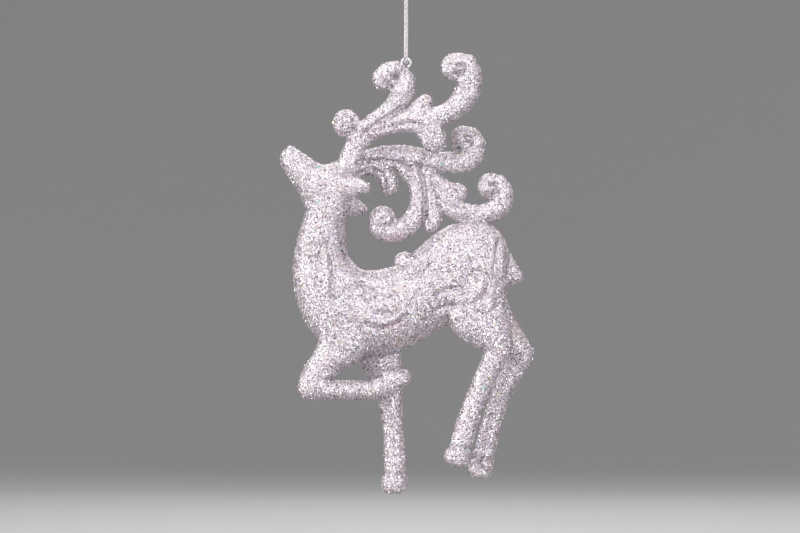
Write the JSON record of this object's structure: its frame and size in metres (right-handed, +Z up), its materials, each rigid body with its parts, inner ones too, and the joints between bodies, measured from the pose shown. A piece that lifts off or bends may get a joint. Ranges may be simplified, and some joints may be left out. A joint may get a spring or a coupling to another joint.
{
  "type": "hanging reindeer ornament",
  "caption": "Standing reindeer with scroll antlers and a raised foreleg, coated in silver glitter, hung by a clear eye from a doubled metallic cord tied in a knot.",
  "frame": {"origin": "where a hook passes through the doubled cord, just under its knot", "axes": "+Z up; the reindeer looks along -X and its left side, with the raised foreleg, faces -Y"},
  "size_m": [0.0802, 0.0212, 0.1683],
  "materials": {
    "glitter_body": "coat of fine silver glitter",
    "glitter_antlers": "coat of fine silver glitter",
    "glitter_legs": "coat of fine silver glitter",
    "clear_eye": "clear, polished",
    "metallic_cord": "twisted metallic thread"
  },
  "bodies": {
    "hanger": {"cord_knot": "metallic_cord"},
    "cord": {"hanging_cord": "metallic_cord"},
    "reindeer": {"body_shell_left": "glitter_body", "body_shell_right": "glitter_body", "antler_left": "glitter_antlers", "antler_right": "glitter_antlers", "ear_left": "glitter_body", "ear_right": "glitter_body", "tail": "glitter_body", "foreleg_left_raised": "glitter_legs", "foreleg_right_standing": "glitter_legs", "hind_leg_left": "glitter_legs", "hind_leg_right": "glitter_legs", "hanging_eye": "clear_eye"}
  },
  "joints": [
    {"name": "cord_twist", "type": "hinge", "parent": "hanger", "child": "cord", "pos_m": [0, 0, 0], "axis": [0, 0, 1], "range_deg": [-180, 180]},
    {"name": "eye_rock", "type": "hinge", "parent": "cord", "child": "reindeer", "pos_m": [0, 0, -0.024], "axis": [0, 1, 0], "range_deg": [-70, 85]}
  ]
}
